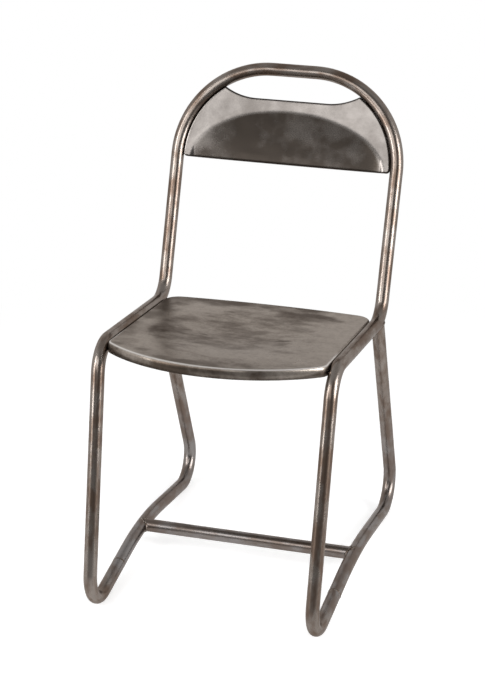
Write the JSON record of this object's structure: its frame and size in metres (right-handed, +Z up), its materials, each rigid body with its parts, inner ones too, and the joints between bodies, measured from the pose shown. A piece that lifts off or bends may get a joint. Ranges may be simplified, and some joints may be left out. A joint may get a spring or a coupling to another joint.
{
  "type": "tubular steel side chair",
  "caption": "Bent steel tube side chair with floor runners, a dished sheet seat, and a sheet back panel under a hand slot.",
  "frame": {"origin": "on the floor, in the middle of the chair's width and depth", "axes": "+Z up, +X towards the sitter's left, the chair faces -Y and +Y is its rear"},
  "size_m": [0.4106, 0.572, 0.7969],
  "materials": {
    "tube_steel": "bare worn steel tube, warm grey-brown, satin",
    "sheet_steel": "bare worn sheet steel, mottled, satin",
    "sleeve_steel": "plain drawn steel, hidden",
    "weld_steel": "dark weld metal, slightly rippled"
  },
  "bodies": {
    "root": {"main_frame_tube": "tube_steel", "left_rear_leg_tube": "tube_steel", "right_rear_leg_tube": "tube_steel", "stretcher_tube": "tube_steel", "seat_pan": "sheet_steel", "back_panel": "sheet_steel", "left_runner_sleeve": "sleeve_steel", "right_runner_sleeve": "sleeve_steel", "left_runner_weld": "weld_steel", "right_runner_weld": "weld_steel", "left_rear_leg_weld": "weld_steel", "right_rear_leg_weld": "weld_steel", "left_stretcher_weld": "weld_steel", "right_stretcher_weld": "weld_steel", "left_seat_welds": "weld_steel", "right_seat_welds": "weld_steel", "left_back_panel_welds": "weld_steel", "right_back_panel_welds": "weld_steel"}
  },
  "joints": []
}
